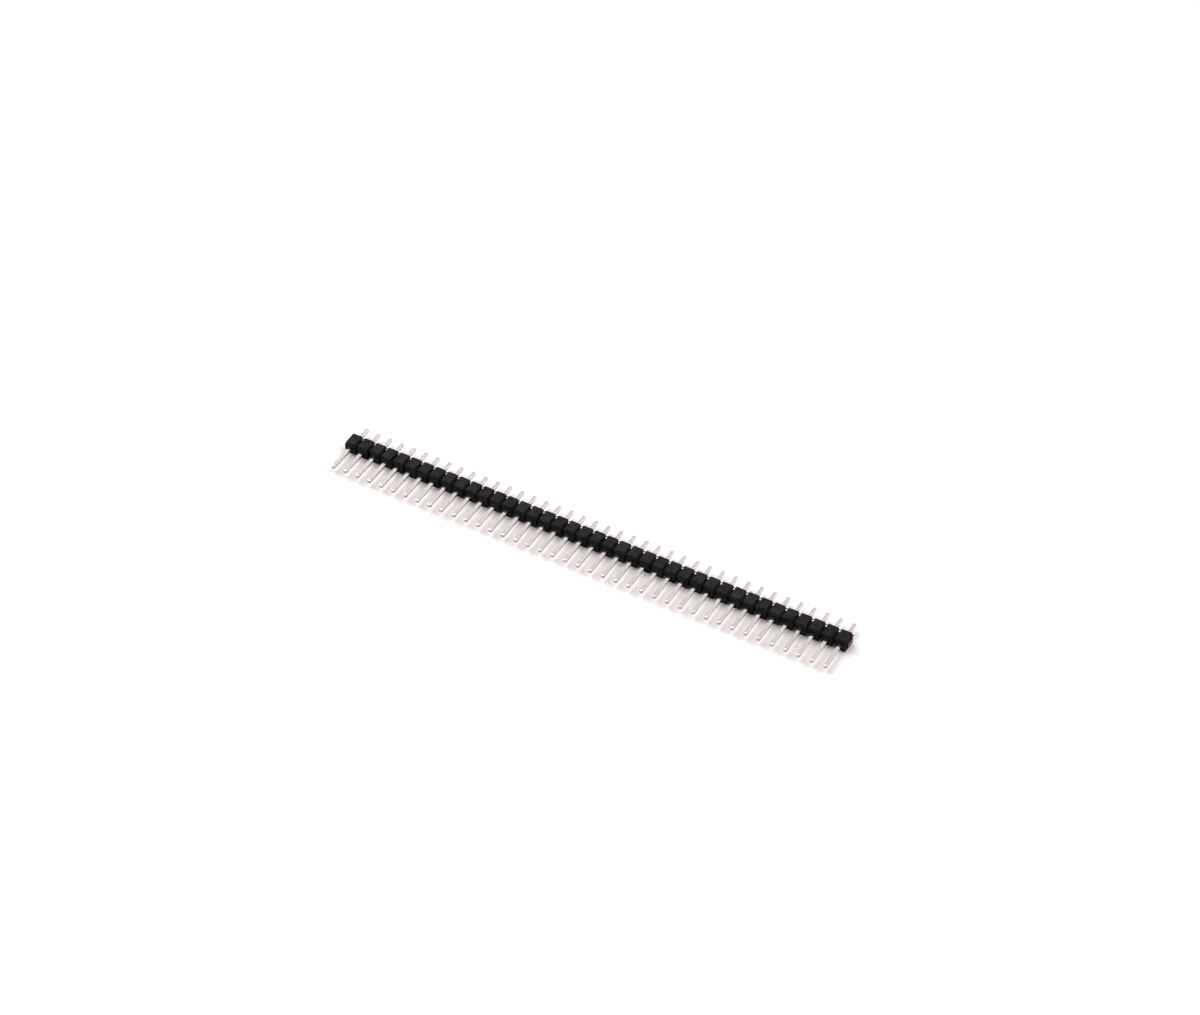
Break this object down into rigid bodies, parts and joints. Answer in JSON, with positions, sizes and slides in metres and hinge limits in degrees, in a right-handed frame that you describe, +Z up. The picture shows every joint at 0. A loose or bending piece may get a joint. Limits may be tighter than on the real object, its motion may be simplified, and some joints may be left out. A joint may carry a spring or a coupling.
{
  "type": "break-away pin header strip",
  "caption": "Black moulded break-away header strip with a single row of straight square pins: long mating posts on one side, short solder tails on the other, lying on its side.",
  "frame": {"origin": "under the middle of the whole strip, on the plane it rests on; X and Y are centred on the overall box, posts and tails included", "axes": "+X along the row of pins, +Y along the pins towards the solder tails, +Z up, across the insulator"},
  "size_m": [0.1016, 0.0114, 0.0025],
  "materials": {
    "moulded_plastic": "fine moulded matt",
    "plated_metal": "tin plated, satin"
  },
  "bodies": {
    "root": {"insulator": "moulded_plastic", "pin_01": "plated_metal", "pin_02": "plated_metal", "pin_03": "plated_metal", "pin_04": "plated_metal", "pin_05": "plated_metal", "pin_06": "plated_metal", "pin_07": "plated_metal", "pin_08": "plated_metal", "pin_09": "plated_metal", "pin_10": "plated_metal", "pin_11": "plated_metal", "pin_12": "plated_metal", "pin_13": "plated_metal", "pin_14": "plated_metal", "pin_15": "plated_metal", "pin_16": "plated_metal", "pin_17": "plated_metal", "pin_18": "plated_metal", "pin_19": "plated_metal", "pin_20": "plated_metal", "pin_21": "plated_metal", "pin_22": "plated_metal", "pin_23": "plated_metal", "pin_24": "plated_metal", "pin_25": "plated_metal", "pin_26": "plated_metal", "pin_27": "plated_metal", "pin_28": "plated_metal", "pin_29": "plated_metal", "pin_30": "plated_metal", "pin_31": "plated_metal", "pin_32": "plated_metal", "pin_33": "plated_metal", "pin_34": "plated_metal", "pin_35": "plated_metal", "pin_36": "plated_metal", "pin_37": "plated_metal", "pin_38": "plated_metal", "pin_39": "plated_metal", "pin_40": "plated_metal"}
  },
  "joints": []
}
